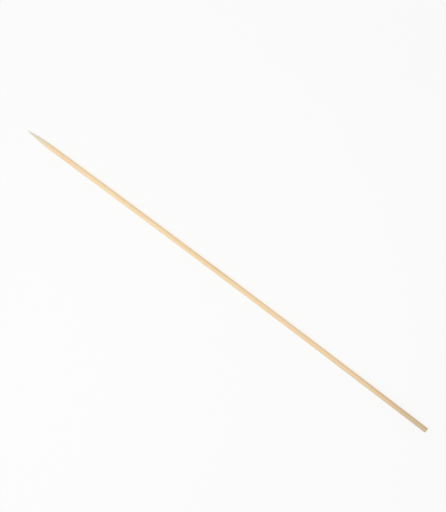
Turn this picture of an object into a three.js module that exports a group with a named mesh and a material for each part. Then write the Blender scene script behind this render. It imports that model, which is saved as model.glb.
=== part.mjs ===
// A bamboo skewer: one round stick, ground to a point at one end and sawn square at the other.
// Millimetres. It lies along X, with the centre of the sawn butt at the origin and the point
// towards +X. The slight natural bow of the stick lies flat, in the XY plane.

import * as THREE from 'three';

// Driving dimensions
const stickLength = 305; // from the sawn butt to the end of the nose
const stickDiameter = 3.2; // round shaft
const pointLength = 15; // ground part of the stick
const flankCrown = 0.13; // how far the ground flank swells past a straight cone
const noseRadius = 0.2; // blunt nose at the very end
const buttCornerRadius = 0.15; // worn corner round the sawn face
const bowHeight = 0.8; // sideways rise of the bow, half way along

// Facets
const sides = 48; // flats round the stick, a multiple of 4
const ringSpacing = 75; // most that two rings of the shaft lie apart
const flankSteps = 12;
const noseSteps = 5;
const buttCornerSteps = 3;

// Worked out from the driving dimensions
const stickRadius = stickDiameter / 2;
const shoulder = stickLength - pointLength;

const bamboo = new THREE.MeshStandardMaterial({ color: 0xe8cd9f, roughness: 0.6, metalness: 0 });

// The half outline is drawn with x as the distance from the middle line and y along the stick.

function arcPoints(centre, radius, startAngle, endAngle, steps) {
  const arc = new THREE.EllipseCurve(centre.x, centre.y, radius, radius, startAngle, endAngle);
  return arc.getPoints(steps);
}

// The flat sawn face, then a quarter circle for the corner that wear has taken off.
function buttOutline() {
  const faceCentre = new THREE.Vector2(0, 0);
  const cornerCentre = new THREE.Vector2(stickRadius - buttCornerRadius, buttCornerRadius);
  return [faceCentre, ...arcPoints(cornerCentre, buttCornerRadius, -Math.PI / 2, 0, buttCornerSteps)];
}

// Evenly spaced rings from the butt's corner up to the shoulder, for the bow to follow.
function shaftOutline() {
  const shaftLength = shoulder - buttCornerRadius;
  const ringCount = Math.ceil(shaftLength / ringSpacing);
  const rings = [];
  for (let ring = 1; ring <= ringCount; ring += 1) {
    rings.push(new THREE.Vector2(stickRadius, buttCornerRadius + (shaftLength * ring) / ringCount));
  }
  return rings;
}

// The ground flank is one wide arc that starts at the shoulder and runs smoothly into the nose.
// Its centre lies flankRadius from the shoulder and flankRadius - noseRadius from the nose's centre.
function flankArc(start, noseCentre) {
  const chord = noseCentre.clone().sub(start);
  const chordLength = chord.length();
  const flankRadius = chordLength ** 2 / (8 * flankCrown) + flankCrown / 2;
  const toNose = flankRadius - noseRadius;
  const alongChord = (flankRadius ** 2 - toNose ** 2 + chordLength ** 2) / (2 * chordLength);
  const besideChord = Math.sqrt(flankRadius ** 2 - alongChord ** 2);
  const direction = chord.normalize();
  const inward = new THREE.Vector2(-direction.y, direction.x);
  const centre = start.clone();
  centre.addScaledVector(direction, alongChord);
  centre.addScaledVector(inward, besideChord);
  return { centre, radius: flankRadius };
}

// The flank, then the round nose, which ends on the middle line.
function pointOutline() {
  const start = new THREE.Vector2(stickRadius, shoulder);
  const noseCentre = new THREE.Vector2(0, stickLength - noseRadius);
  const noseEnd = new THREE.Vector2(0, stickLength);
  const flank = flankArc(start, noseCentre);
  const startAngle = start.clone().sub(flank.centre).angle();
  const tangentAngle = noseCentre.clone().sub(flank.centre).angle();
  const flankPoints = arcPoints(flank.centre, flank.radius, startAngle, tangentAngle, flankSteps);
  const nosePoints = arcPoints(noseCentre, noseRadius, tangentAngle, Math.PI / 2, noseSteps);
  return [...flankPoints.slice(1), ...nosePoints.slice(1, -1), noseEnd];
}

// The outline is turned about the middle line and laid along X. Each flat touches the true
// circle from outside, so the stick measures its full diameter across flats, and one flat faces down.
function straightStick() {
  const halfSide = Math.PI / sides;
  const outline = [...buttOutline(), ...shaftOutline(), ...pointOutline()];
  for (const point of outline) {
    point.x /= Math.cos(halfSide);
  }
  const geometry = new THREE.LatheGeometry(outline, sides, halfSide);
  geometry.rotateZ(-Math.PI / 2);
  return geometry;
}

// The bow slides every ring sideways onto a parabola. It is so shallow that no ring has to turn,
// and the sawn face stays square to X.
function addBow(geometry) {
  const position = geometry.getAttribute('position');
  for (let i = 0; i < position.count; i += 1) {
    const share = position.getX(i) / stickLength;
    const slide = 4 * bowHeight * share * (1 - share);
    position.setY(i, position.getY(i) - slide);
  }
  geometry.computeVertexNormals();
  return geometry;
}

const skewer = new THREE.Mesh(addBow(straightStick()), bamboo);
skewer.name = 'skewer';

const part = new THREE.Group();
part.add(skewer);

export default part;
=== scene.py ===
import bpy
import numpy as np
from mathutils import Matrix, Vector


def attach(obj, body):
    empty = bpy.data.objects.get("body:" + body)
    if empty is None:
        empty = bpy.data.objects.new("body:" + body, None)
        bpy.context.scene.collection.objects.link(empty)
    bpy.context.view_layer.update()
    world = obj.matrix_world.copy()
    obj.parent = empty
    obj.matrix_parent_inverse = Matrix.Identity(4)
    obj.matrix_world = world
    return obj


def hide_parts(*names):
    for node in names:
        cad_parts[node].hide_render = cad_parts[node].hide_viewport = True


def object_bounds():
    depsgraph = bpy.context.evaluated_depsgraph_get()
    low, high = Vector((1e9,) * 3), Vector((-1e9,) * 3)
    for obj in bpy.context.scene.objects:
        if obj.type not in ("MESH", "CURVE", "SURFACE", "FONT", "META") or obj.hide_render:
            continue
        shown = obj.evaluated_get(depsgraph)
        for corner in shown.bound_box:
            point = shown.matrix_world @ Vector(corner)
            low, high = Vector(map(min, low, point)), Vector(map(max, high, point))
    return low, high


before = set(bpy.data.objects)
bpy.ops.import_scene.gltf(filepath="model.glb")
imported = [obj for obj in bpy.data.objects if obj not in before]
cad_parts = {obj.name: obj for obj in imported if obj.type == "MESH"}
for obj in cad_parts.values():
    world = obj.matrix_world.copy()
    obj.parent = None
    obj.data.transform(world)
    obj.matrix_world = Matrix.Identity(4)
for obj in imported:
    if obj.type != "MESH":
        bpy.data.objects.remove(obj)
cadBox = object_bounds()
print("frame loaded:", len(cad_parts), "node")


# Colour and node helpers

def linear(hexColour):
    value = hexColour.lstrip("#")
    channels = [int(value[i:i + 2], 16) / 255 for i in (0, 2, 4)]
    return tuple(c / 12.92 if c <= 0.04045 else ((c + 0.055) / 1.055) ** 2.4 for c in channels) + (1.0,)


# Adds one node with its settings and inputs, and gives back one of its outputs. An input that is
# another node's output is linked, and any other is set.
def addNode(tree, kind, inputs, output=0, **settings):
    node = tree.nodes.new("ShaderNode" + kind)
    for name, value in settings.items():
        setattr(node, name, value)
    for socket, value in inputs.items():
        if isinstance(value, bpy.types.NodeSocket):
            tree.links.new(value, node.inputs[socket])
        else:
            node.inputs[socket].default_value = value
    return node.outputs[output] if len(node.outputs) else node


def emptyTree(owner):
    owner.use_nodes = True
    owner.node_tree.nodes.clear()
    return owner.node_tree


# The stick lies along X, its butt at the origin and its point towards +X. Its shape is worked out
# in millimetres and turned to metres at the very end.
skewer = {
    "length": 1000 * (cadBox[1].x - cadBox[0].x),  # mm, butt to nose
    "diameter": 1000 * (cadBox[1].z - cadBox[0].z),
    "pointLength": 15.0,  # ground part
    "flankCrown": 0.13,  # swell of the ground flank past a straight cone
    "noseRadius": 0.2,
    "cornerRadius": 0.15,  # wear round the sawn face
    "bow": 0.8,  # sideways rise half way along, towards -Y
    "around": 96,  # faces round the stick
    "faceRings": 10,
    "cornerRings": 7,
    "ringStep": 0.6,  # mm between rings of the shaft
    "flankRings": 60,
    "noseRings": 11,
    "flatDepth": 0.02,  # mm, long shallow flats
    "flatWaves": [2, 3, 4, 5],  # waves in one turn round the stick
    "flatPace": (0.01, 0.03),  # radians for each mm along, least and most
    "furrowDepth": 0.012,  # mm, left between fibres by the rounding dies
    "furrowWaves": [17, 19, 23, 26, 29, 31],
    "furrowPace": (0.02, 0.06),
    "sway": 0.9,  # radians that a flat or furrow winds to each side
    "seed": 7,
    "runOut": (0.004, -0.002),  # mm that the fibres leave the stick's line, across and up, for each mm
    "wanders": [(0.05, 23.0, 0.0), (0.03, 9.7, 1.0)],  # mm aside, mm for each radian, radians at the butt
    "wanderUp": 0.7,  # share of it that goes up too
    "crowding": 0.09,  # mm for each square mm of height
    "mapStrips": 6,
    "mapGap": 0.8,  # mm
}


# The flank is an arc from the shoulder that runs into the nose without a kink. Its centre lies
# flankRadius from the shoulder and flankRadius less the nose's radius from the nose's centre.
def flankArc(s, shoulderEdge, noseCentre):
    chord = noseCentre - shoulderEdge
    reach = np.hypot(*chord)
    flankRadius = reach ** 2 / (8 * s["flankCrown"]) + s["flankCrown"] / 2
    toNose = flankRadius - s["noseRadius"]
    onChord = (flankRadius ** 2 - toNose ** 2 + reach ** 2) / (2 * reach)
    offChord = np.sqrt(flankRadius ** 2 - onChord ** 2)
    unit = chord / reach
    inward = np.array([unit[1], -unit[0]])
    return shoulderEdge + unit * onChord + inward * offChord, flankRadius


# The half outline of the stick as two lists, the distance along and the radius, from the middle of
# the sawn face to the end of the nose. The face is flat, its corner a quarter circle, the shaft
# straight, the flank one wide arc and the nose a small one.
def skewerOutline(s):
    radius = s["diameter"] / 2
    shoulder = s["length"] - s["pointLength"]
    corner = s["cornerRadius"]
    face = np.linspace(0, radius - corner, s["faceRings"])
    turn = np.linspace(0, np.pi / 2, s["cornerRings"] + 1)[1:]
    cornerAlong = corner * (1 - np.cos(turn))
    cornerOut = radius - corner * (1 - np.sin(turn))
    shaftRings = int((shoulder - corner) / s["ringStep"])
    shaft = np.linspace(corner, shoulder, shaftRings + 1)[1:]
    shoulderEdge = np.array([shoulder, radius])
    noseCentre = np.array([s["length"] - s["noseRadius"], 0.0])
    centre, flankRadius = flankArc(s, shoulderEdge, noseCentre)
    angleStart = np.arctan2(*(shoulderEdge - centre)[::-1])
    angleEnd = np.arctan2(*(noseCentre - centre)[::-1])
    sweep = np.linspace(angleStart, angleEnd, s["flankRings"] + 1)[1:]
    flankAlong = centre[0] + flankRadius * np.cos(sweep)
    flankOut = centre[1] + flankRadius * np.sin(sweep)
    tip = np.linspace(angleEnd, 0, s["noseRings"] + 1)[1:]
    tipAlong = noseCentre[0] + s["noseRadius"] * np.cos(tip)
    tipOut = s["noseRadius"] * np.sin(tip)
    along = np.concatenate([0 * face, cornerAlong, shaft, flankAlong, tipAlong])
    out = np.concatenate([face, cornerOut, np.full(shaftRings, radius), flankOut, tipOut])
    out[-1] = 0.0
    return along, out


# Smooth noise on the grid: the sum of a few waves round the stick, whose phases sway to and fro
# along it, divided by the square root of their number. Every wave fits the turn a whole number of
# times, so the seam closes. The result lies between about -2 and 2.
def wavySurface(s, along, angle, rng, waves, paces):
    total = np.zeros((len(along), len(angle)))
    for around in waves:
        pace = rng.uniform(*paces)
        phase = rng.uniform(0, 2 * np.pi, 2)
        drift = s["sway"] * np.sin(along * pace + phase[0])
        total += np.sin(around * angle[None, :] + drift[:, None] + phase[1])
    return total / np.sqrt(len(waves))


# The skin is the outline turned round the middle line. Relief goes only inwards, by a share of its
# depth between 0 and 1 that the waves give: long shallow flats and narrow furrows, both fading out
# with the square of the radius on the nose and the sawn face. Last, each ring slides towards -Y by
# a parabola that is nought at both ends, which is the bow. It gives x, y and z of the straight
# stick, for the patterns, and then the bowed y.
def skewerSurface(s, along, out):
    angle = np.arange(s["around"]) * 2 * np.pi / s["around"]
    rng = np.random.default_rng(s["seed"])
    flats = wavySurface(s, along, angle, rng, s["flatWaves"], s["flatPace"])
    furrows = wavySurface(s, along, angle, rng, s["furrowWaves"], s["furrowPace"])
    flatShare = (2 - np.clip(flats, -2, 2)) / 4
    furrowShare = (2 - np.clip(furrows, -2, 2)) / 4
    relief = s["flatDepth"] * flatShare + s["furrowDepth"] * furrowShare
    fade = np.clip((out / (s["diameter"] / 2)) ** 2, 0, 1)
    radius = out[:, None] - relief * fade[:, None]
    x = np.repeat(along[:, None], len(angle), axis=1)
    y = radius * np.cos(angle)
    z = radius * np.sin(angle)
    share = x / s["length"]
    bowed = y - 4 * s["bow"] * share * (1 - share)
    return x, y, z, bowed


# Where each point lies among the fibres, in millimetres: across, up, along. The fibres leave the
# stick's own line a little and wander a little, and they crowd together with the square of the
# height, as they do towards the outside of a culm.
def fibrePlaces(s, x, y, z):
    wander = sum(aside * np.sin(x / stretch + start) for aside, stretch, start in s["wanders"])
    across = y + s["runOut"][0] * x + wander
    upward = z + s["runOut"][1] * x + s["wanderUp"] * wander + s["crowding"] * z ** 2
    return np.stack([across, upward, x], axis=2)


# The stick unrolled for textures: the skin is cut into equal lengths that lie side by side, each
# as wide as the stick is round, and the sawn face lies flat beneath them. It gives one row of
# places for each corner of each face, in the order of the faces.
def unrolledStick(s, y, z, along, out):
    strips = s["mapStrips"]
    gap = s["mapGap"]
    radius = s["diameter"] / 2
    around = s["around"]
    fromCentre = np.concatenate([[0], np.cumsum(np.hypot(np.diff(along), np.diff(out)))])
    walk = fromCentre - (radius - s["cornerRadius"])  # from the edge of the flat face
    girth = 2 * np.pi * radius
    stretch = walk[-1] / strips
    beneath = 2 * radius + 2 * gap
    sheet = np.array([strips * (girth + gap), beneath + stretch + 2 * gap])
    strip = np.clip((walk[1:] + walk[:-1]) / 2 // stretch, 0, strips - 1)[:, None]
    left = strip * (girth + gap) + gap / 2 + girth * np.arange(around) / around
    right = left + girth / around
    rise = beneath + gap - strip * stretch
    low = walk[:-1, None] + rise + 0 * left
    high = walk[1:, None] + rise + 0 * left
    quads = np.stack([np.stack([left, low], 2), np.stack([right, low], 2),
                      np.stack([right, high], 2), np.stack([left, high], 2)], axis=2)
    flat = np.stack([-y, z], axis=2) + radius + gap
    turned = np.roll(flat, -1, axis=1)
    onFace = s["faceRings"] - 1
    quads[:onFace] = np.stack([flat[:-1], turned[:-1], turned[1:], flat[1:]], axis=2)[:onFace]
    first = np.stack([flat[0], turned[1], flat[1]], axis=1)
    tip = (quads[-1, :, 2] + quads[-1, :, 3]) / 2
    last = np.stack([tip, quads[-1, :, 0], quads[-1, :, 1]], axis=1)
    return np.concatenate([part.reshape(-1, 2) for part in (quads[1:-1], first, last)]) / sheet


# One row for each point of a mesh whose first and last ring are closed to one point each.
def ringRows(grid):
    return np.concatenate([grid[0, :1], grid[1:-1].reshape(-1, 3), grid[-1, :1]])


# A grid of rings from the butt to the nose, each turning from +Y towards +Z. The faces between two
# rings go round so that they look outwards, and both ends are closed by triangles.
def meshFromRings(name, x, y, z, places, corners):
    rings, around = x.shape
    points = ringRows(np.stack([x, y, z], axis=2))
    index = 1 + np.arange((rings - 2) * around).reshape(rings - 2, around)
    after = np.roll(index, -1, axis=1)
    quads = np.stack([index[:-1], after[:-1], after[1:], index[1:]], axis=2).reshape(-1, 4)
    first = np.stack([np.zeros(around, int), after[0], index[0]], axis=1)
    last = np.stack([np.full(around, len(points) - 1), index[-1], after[-1]], axis=1)
    mesh = bpy.data.meshes.new(name)
    mesh.from_pydata(points / 1000, [], quads.tolist() + first.tolist() + last.tolist())
    mesh.polygons.foreach_set("use_smooth", np.ones(len(mesh.polygons), bool))
    for key, grid in places.items():
        layer = mesh.attributes.new(key, "FLOAT_VECTOR", "POINT")
        layer.data.foreach_set("vector", ringRows(grid).astype(np.float32).ravel())
    uvMap = mesh.uv_layers.new(name="OFBake")  # the name under which textures are baked
    uvMap.uv.foreach_set("vector", corners.astype(np.float32).ravel())
    mesh.update()
    return mesh


def makeSkewer(s):
    along, out = skewerOutline(s)
    x, y, z, bowed = skewerSurface(s, along, out)
    places = {"straightMm": np.stack([x, y, z], axis=2), "fibreMm": fibrePlaces(s, x, y, z)}
    mesh = meshFromRings("skewer_stick", x, bowed, z, places, unrolledStick(s, y, z, along, out))
    stick = bpy.data.objects.new("skewer_stick", mesh)
    bpy.context.scene.collection.objects.link(stick)
    return stick


bambooLook = {
    "pale": "#F8DEB1",
    "warm": "#F7D8AB",
    "pinkish": "#F4D5B3",
    "fibre": "#D2A76E",  # thin lines between paler wood
    "ground": "#E6DFC6",  # freshly ground point
    "dull": "#D8DACB",  # the last few millimetres of it
    "buttShade": "#C8A678",  # painted shade: darker and browner towards the butt, where the light thins out along the stick
    "buttGreyShade": "#BFBBA3",  # painted shade: greyer over the last stretch before the sawn end
    "corner": "#BE8A5C",  # browned rim round the sawn end
    "endGrain": "#D9B487",
    "sheath": "#99703F",  # rim of a bundle that is cut across
    # how much of each colour covers what is beneath
    "groundCover": 0.75,
    "dullCover": 0.5,
    "buttShadeCover": 0.5,
    "buttGreyShadeCover": 0.35,
    "cornerCover": 0.48,
    "threadCover": 0.26,
    "bundleCover": 0.38,
    "poreCover": 0.34,
    "endThreadCover": 0.35,
    "endRimCover": 0.8,
    # slow tones: how fast they change, their turn in radians, two levels of noise and what they give
    "driftLength": 55.0,  # mm over which the slowest tone wanders
    "driftWidth": 2.5,  # mm across
    "drift": {"pace": 1.0, "turn": 0.0, "levels": (0.35, 0.65), "gives": (0.0, 1.0)},
    "blush": {"pace": 1.7, "turn": 0.4, "levels": (0.48, 0.74), "gives": (0.0, 0.6)},
    "showing": {"pace": 2.2, "turn": 0.9, "levels": (0.3, 0.7), "gives": (0.25, 1.0)},
    # the grain
    "bundleSpacing": 0.55,  # mm between fibre bundles
    "bundleUneven": 0.3,  # mm that a bundle's outline may wander
    "unevenPace": 3.0,  # for each mm
    "bundleEdge": (0.08, 0.34),  # shares of the spacing between which a bundle fades
    "bundleHollow": (0.05, 0.14),  # and between which its middle fades where it is cut across
    "hollowLevel": 0.6,  # how much of the rim's colour that middle keeps
    "fineSpacing": 0.11,  # mm between single fibres
    "fineLength": 35.0,  # mm that one fibre shows before another takes its place
    "threadLevels": (0.42, 0.68),  # levels of noise between which a fibre darkens
    "poreWidth": 0.05,  # mm, pores cut open lengthwise
    "poreLength": 4.5,
    "poreLevels": (0.68, 0.78),
    # where each finish starts and ends
    "pointFade": (1.0, 6.0),  # mm past the shoulder, less what the grain takes off
    "pointUneven": 6.0,  # mm that it takes off at most
    "dullFade": (9.0, 2.0),  # mm from the nose
    "buttShadeFade": (0.0, 120.0),  # mm from the butt, as the next three
    "buttGreyShadeFade": (3.0, 34.0),
    "cornerFade": (0.05, 0.8),
    "sawnFade": (0.01, 0.16),
    # the surface
    "roughness": (0.56, 0.7),  # dull satin, as dry wood polished only by its dies
    "roughLevels": (0.3, 0.7),  # levels of noise that give the two
    "ior": 1.5,
    "reliefDepth": 0.02,  # mm
    "reliefStrength": 0.6,
    "poreDip": 0.6,  # shares of the relief's depth
    "bundleDip": 0.15,
    "rubHeight": 0.8,
    "rubPitch": 0.16,  # mm between rub marks on the ground point
    "rubPace": 0.9,  # for each mm round it
    "sawHeight": 1.6,
    "sawPitch": 0.2,  # mm between tooth marks
    "sawLength": 2.5,  # mm
    "sawDepth": 10.0,  # mm, so that a mark stays one mark down the corner
    "sawTurn": 0.5,  # radians
}


# Everything that runs with the grain. Bundles are round cells in the cross section, single fibres
# and opened pores are noise that is narrow across and long along.
def grainPattern(tree, look, fibre):
    slow = 1 / look["fineLength"]
    looseScale = (look["unevenPace"], look["unevenPace"], slow)
    loosePlace = addNode(tree, "Mapping", {"Vector": fibre, "Scale": looseScale})
    loose = addNode(tree, "TexNoise", {"Vector": loosePlace, "Scale": 1.0, "Detail": 2.0}, "Color")
    shift = addNode(tree, "VectorMath", {0: loose, 1: (look["bundleUneven"],) * 3, 2: fibre},
                    operation="MULTIPLY_ADD")
    pattern = {"Vector": shift, "Scale": 1 / look["bundleSpacing"], "Randomness": 0.9}
    cell = addNode(tree, "TexVoronoi", pattern, "Distance", voronoi_dimensions="2D", feature="F1")
    inner, outer = look["bundleEdge"]
    span = {"Value": cell, "From Min": inner, "From Max": outer, "To Min": 1.0, "To Max": 0.0}
    core = addNode(tree, "MapRange", span, interpolation_type="SMOOTHSTEP")
    inner, outer = look["bundleHollow"]
    span = {"Value": cell, "From Min": inner, "From Max": outer, "To Min": look["hollowLevel"]}
    hollow = addNode(tree, "MapRange", span, interpolation_type="SMOOTHSTEP")
    rim = addNode(tree, "Math", {0: core, 1: hollow}, operation="MULTIPLY")
    across = 1 / (2 * look["fineSpacing"])
    finePlace = addNode(tree, "Mapping", {"Vector": fibre, "Scale": (across, across, slow)})
    fine = addNode(tree, "TexNoise", {"Vector": finePlace, "Scale": 1.0, "Detail": 3.0, "Roughness": 0.65})
    low, high = look["threadLevels"]
    thread = addNode(tree, "MapRange", {"Value": fine, "From Min": low, "From Max": high},
                     interpolation_type="SMOOTHSTEP")
    across = 1 / (2 * look["poreWidth"])
    porePlace = addNode(tree, "Mapping", {"Vector": fibre, "Scale": (across, across, 1 / look["poreLength"])})
    openings = addNode(tree, "TexNoise", {"Vector": porePlace, "Scale": 1.0, "Detail": 1.0})
    low, high = look["poreLevels"]
    pore = addNode(tree, "MapRange", {"Value": openings, "From Min": low, "From Max": high},
                   interpolation_type="SMOOTHSTEP")
    return {"core": core, "rim": rim, "fine": fine, "thread": thread, "pore": pore}


# Where each finish and each painted shade lies along the stick, as shares from 0 to 1: the ground point,
# whose edge the grain makes uneven, its dull tip, the painted shade that darkens the butt half, whose share
# is squared so that it thins out early, the painted grey shade over the last stretch before the butt, the
# worn corner and the sawn face.
def endMasks(tree, look, s, along, fine):
    masks = {}
    for name in ("buttShade", "buttGreyShade", "corner", "sawn"):
        near, far = look[name + "Fade"]
        span = {"Value": along, "From Min": near, "From Max": far, "To Min": 1.0, "To Max": 0.0}
        masks[name] = addNode(tree, "MapRange", span, interpolation_type="SMOOTHSTEP")
    # painted shade towards the butt, squared so that it thins out early
    masks["buttShade"] = addNode(tree, "Math", {0: masks["buttShade"], 1: 2.0}, operation="POWER")
    far, near = look["dullFade"]
    span = {"Value": along, "From Min": s["length"] - far, "From Max": s["length"] - near}
    masks["dull"] = addNode(tree, "MapRange", span, interpolation_type="SMOOTHSTEP")
    shoulder = s["length"] - s["pointLength"]
    near, far = look["pointFade"]
    uneven = addNode(tree, "Math", {0: fine, 1: look["pointUneven"], 2: along}, operation="MULTIPLY_ADD")
    span = {"Value": uneven, "From Min": shoulder + near, "From Max": shoulder + far}
    masks["point"] = addNode(tree, "MapRange", span, interpolation_type="SMOOTHSTEP")
    return masks


# Slow noise over the skin, stretched along it, for tones that wander.
def slowTone(tree, look, place, tone):
    across = 1 / look["driftWidth"]
    low, high = tone["levels"]
    least, most = tone["gives"]
    spot = addNode(tree, "Mapping", {"Vector": place, "Rotation": (tone["turn"], 0, 0),
                                     "Scale": (tone["pace"] / look["driftLength"], across, across)})
    noise = addNode(tree, "TexNoise", {"Vector": spot, "Scale": 1.0, "Detail": 2.0})
    span = {"Value": noise, "From Min": low, "From Max": high, "To Min": least, "To Max": most}
    return addNode(tree, "MapRange", span, interpolation_type="SMOOTHSTEP")


# Lays coats of colour over a first one, each by a mask and a share of it.
def layColours(tree, first, coats):
    colour = first
    for mask, share, over in coats:
        amount = addNode(tree, "Math", {0: mask, 1: share}, operation="MULTIPLY")
        colour = addNode(tree, "Mix", {0: amount, 6: colour, 7: over}, 2, data_type="RGBA")
    return colour


def bambooColour(tree, look, place, grain, ends):
    paint = {name: linear(value) for name, value in look.items() if isinstance(value, str)}
    drift = slowTone(tree, look, place, look["drift"])
    blush = slowTone(tree, look, place, look["blush"])
    showing = slowTone(tree, look, place, look["showing"])  # bundles come and go
    line = addNode(tree, "Math", {0: grain["core"], 1: showing}, operation="MULTIPLY")
    skin = layColours(tree, paint["pale"], [
        (drift, 1.0, paint["warm"]),
        (blush, 1.0, paint["pinkish"]),
        (ends["point"], look["groundCover"], paint["ground"]),
        # painted shade: the butt half darkened where the light thins out towards it
        (ends["buttShade"], look["buttShadeCover"], paint["buttShade"]),
        # painted shade: the last stretch before the sawn end greyed all round
        (ends["buttGreyShade"], look["buttGreyShadeCover"], paint["buttGreyShade"]),
        (grain["thread"], look["threadCover"], paint["fibre"]),
        (line, look["bundleCover"], paint["fibre"]),
        (grain["pore"], look["poreCover"], paint["sheath"]),
        (ends["dull"], look["dullCover"], paint["dull"]),
        (ends["corner"], look["cornerCover"], paint["corner"]),
    ])
    face = layColours(tree, paint["endGrain"], [
        (grain["thread"], look["endThreadCover"], paint["fibre"]),
        (grain["rim"], look["endRimCover"], paint["sheath"]),
    ])
    return layColours(tree, skin, [(ends["sawn"], 1.0, face)])


# Height of the skin: fibres and bundle lines all along, rub marks round the point and tooth
# marks across the sawn face, each a share of the relief's depth.
def bambooRelief(tree, look, place, grain, ends):
    rubScale = (1 / look["rubPitch"], look["rubPace"], look["rubPace"])
    rubPlace = addNode(tree, "Mapping", {"Vector": place, "Scale": rubScale})
    rub = addNode(tree, "TexNoise", {"Vector": rubPlace, "Scale": 1.0, "Detail": 2.0})
    sawScale = (1 / look["sawDepth"], 1 / look["sawLength"], 1 / look["sawPitch"])
    sawPlace = addNode(tree, "Mapping", {"Vector": place, "Rotation": (look["sawTurn"], 0, 0),
                                         "Scale": sawScale})
    saw = addNode(tree, "TexNoise", {"Vector": sawPlace, "Scale": 1.0, "Detail": 2.0})
    rubbed = addNode(tree, "Math", {0: rub, 1: ends["point"]}, operation="MULTIPLY")
    sawed = addNode(tree, "Math", {0: saw, 1: ends["sawn"]}, operation="MULTIPLY")
    height = grain["fine"]
    for mark, share in [
        (grain["pore"], -look["poreDip"]),
        (grain["core"], -look["bundleDip"]),
        (rubbed, look["rubHeight"]),
        (sawed, look["sawHeight"]),
    ]:
        height = addNode(tree, "Math", {0: mark, 1: share, 2: height}, operation="MULTIPLY_ADD")
    depth = look["reliefDepth"] / 1000
    return addNode(tree, "Bump", {"Strength": look["reliefStrength"], "Distance": depth, "Height": height})


# Culm wood of bamboo, split, rounded through dies and dried. To the eye: pale straw with straight
# parallel fibres, faint darker lines where bundles come to the surface, a dull satin skin, a
# greyer ground point where the lines run out as long ovals, and dots on the sawn end.
def bambooMaterial(look, s):
    material = bpy.data.materials.new("die rounded dry bamboo")
    tree = emptyTree(material)
    fibre = addNode(tree, "Attribute", {}, "Vector", attribute_name="fibreMm")
    place = addNode(tree, "Attribute", {}, "Vector", attribute_name="straightMm")
    along = addNode(tree, "SeparateXYZ", {"Vector": place}, "X")
    grain = grainPattern(tree, look, fibre)
    ends = endMasks(tree, look, s, along, grain["fine"])
    colour = bambooColour(tree, look, place, grain, ends)
    relief = bambooRelief(tree, look, place, grain, ends)
    low, high = look["roughLevels"]
    smoothest, roughest = look["roughness"]
    rough = addNode(tree, "MapRange", {"Value": grain["fine"], "From Min": low, "From Max": high,
                                       "To Min": smoothest, "To Max": roughest})
    shader = addNode(tree, "BsdfPrincipled", {"Base Color": colour, "Roughness": rough, "Normal": relief,
                                              "IOR": look["ior"]})
    addNode(tree, "OutputMaterial", {"Surface": shader})
    return material


stick = makeSkewer(skewer)
stick.data.materials.append(bambooMaterial(bambooLook, skewer))
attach(stick, "root")
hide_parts("skewer")
print("skewer made:", len(stick.data.vertices), "points,", len(stick.data.polygons), "faces")

studio = {
    "floorHeight": cadBox[0].z,  # metres, where the stick touches down
    "floorHalf": 4.0,
    "floorColour": "#F6F6F6",
    "floorWhite": 0.8,  # share of plain white that the camera sees in the floor near the stick
    "fadeFrom": 0.16,  # metres from the stick's middle, where the floor starts to turn to plain white
    "fadeTo": 0.42,
    "whiteLevel": 0.982,  # plain white as the camera sees it, in the world and the floor
    "skyLight": 0.66,  # strength of the world's even light
    "lampPlace": (0.24, 0.15, 0.44),  # metres, as the next two
    "lampAim": (0.2, 0.0, 0.0),
    "lampSize": 0.4,
    "lampPower": 1.0,  # watts
    "lensMm": 85.0,
    "sensorMm": 36.0,
    "nearest": 0.01,  # metres, as close as the camera sees
    "cameraPlace": (0.1635, -0.01055, 0.7398),
    "imageRight": (-0.7991, -0.6012, 0.0),  # where the image's right and top edges lie
    "imageUp": (0.6012, -0.7991, 0.0),
}


# 1 for the rays that the eye, a mirror or clear glass would send, and 0 for the rays of light.
def seenRay(tree):
    path = addNode(tree, "LightPath", {}).node
    seen = addNode(tree, "Math", {0: path.outputs["Is Camera Ray"], 1: path.outputs["Is Glossy Ray"]},
                   operation="MAXIMUM")
    return addNode(tree, "Math", {0: seen, 1: path.outputs["Is Transmission Ray"]}, operation="MAXIMUM")


# White to look at, and an even, lower level of light on the stick.
def makeWorld(look):
    world = bpy.data.worlds.new("studio white")
    bpy.context.scene.world = world
    tree = emptyTree(world)
    level = addNode(tree, "MapRange", {"Value": seenRay(tree), "To Min": look["skyLight"],
                                       "To Max": look["whiteLevel"]})
    light = addNode(tree, "Background", {"Color": (1, 1, 1, 1), "Strength": level})
    addNode(tree, "OutputWorld", {"Surface": light})


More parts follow.
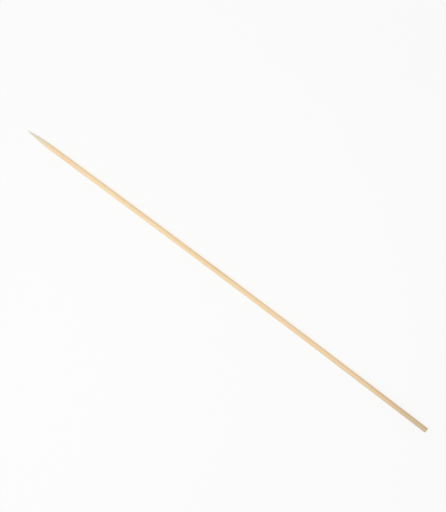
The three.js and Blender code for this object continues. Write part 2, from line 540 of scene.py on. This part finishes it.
# Matt white paper. Most of what the eye gets from it is plain white, so that the soft shadow under
# the stick stays, and far out it is all white, so that the floor ends without an edge.
def paperMaterial(look):
    material = bpy.data.materials.new("matt white paper")
    tree = emptyTree(material)
    floorPlace = addNode(tree, "TexCoord", {}, "Object")
    middle = (cadBox[0].x + cadBox[1].x) / 2
    spot = addNode(tree, "Mapping", {"Vector": floorPlace, "Location": (-middle, 0, 0)})
    far = addNode(tree, "VectorMath", {0: spot}, "Value", operation="LENGTH")
    fade = addNode(tree, "MapRange", {"Value": far, "From Min": look["fadeFrom"], "From Max": look["fadeTo"],
                                      "To Min": look["floorWhite"]}, interpolation_type="SMOOTHSTEP")
    share = addNode(tree, "Math", {0: seenRay(tree), 1: fade}, operation="MULTIPLY")
    paper = addNode(tree, "BsdfDiffuse", {"Color": linear(look["floorColour"])})
    white = addNode(tree, "Emission", {"Color": (1, 1, 1, 1), "Strength": look["whiteLevel"]})
    both = addNode(tree, "MixShader", {0: share, 1: paper, 2: white})
    addNode(tree, "OutputMaterial", {"Surface": both})
    return material


def makeFloor(look):
    half = look["floorHalf"]
    height = look["floorHeight"]
    corners = [(-half, -half, height), (half, -half, height), (half, half, height), (-half, half, height)]
    mesh = bpy.data.meshes.new("studio_floor")
    mesh.from_pydata(corners, [], [(0, 1, 2, 3)])
    mesh.materials.append(paperMaterial(look))
    floor = bpy.data.objects.new("studio_floor", mesh)
    bpy.context.scene.collection.objects.link(floor)


# One soft square lamp above the stick and a little beside it, nearer to its point, so that the
# light thins out a little towards the butt.
def makeLamp(look):
    data = bpy.data.lights.new("soft box", "AREA")
    data.shape = "SQUARE"
    data.size = look["lampSize"]
    data.energy = look["lampPower"]
    lamp = bpy.data.objects.new("soft box", data)
    lamp.location = look["lampPlace"]
    lamp.rotation_mode = "QUATERNION"
    lamp.rotation_quaternion = (Vector(look["lampAim"]) - lamp.location).to_track_quat("-Z", "Y")
    lamp.visible_camera = False
    bpy.context.scene.collection.objects.link(lamp)


# Straight above, turned so that the point lies at the image's upper left.
def makeCamera(look):
    data = bpy.data.cameras.new("overhead camera")
    data.lens = look["lensMm"]
    data.sensor_width = look["sensorMm"]
    data.clip_start = look["nearest"]
    camera = bpy.data.objects.new("overhead camera", data)
    right = Vector(look["imageRight"]).normalized()
    up = Vector(look["imageUp"]).normalized()
    turn = Matrix((right, up, right.cross(up))).transposed()
    camera.matrix_world = Matrix.Translation(look["cameraPlace"]) @ turn.to_4x4()
    bpy.context.scene.collection.objects.link(camera)
    bpy.context.scene.camera = camera


makeWorld(studio)
makeFloor(studio)
makeLamp(studio)
makeCamera(studio)
bpy.context.scene.view_settings.view_transform = "Standard"
print("studio made")
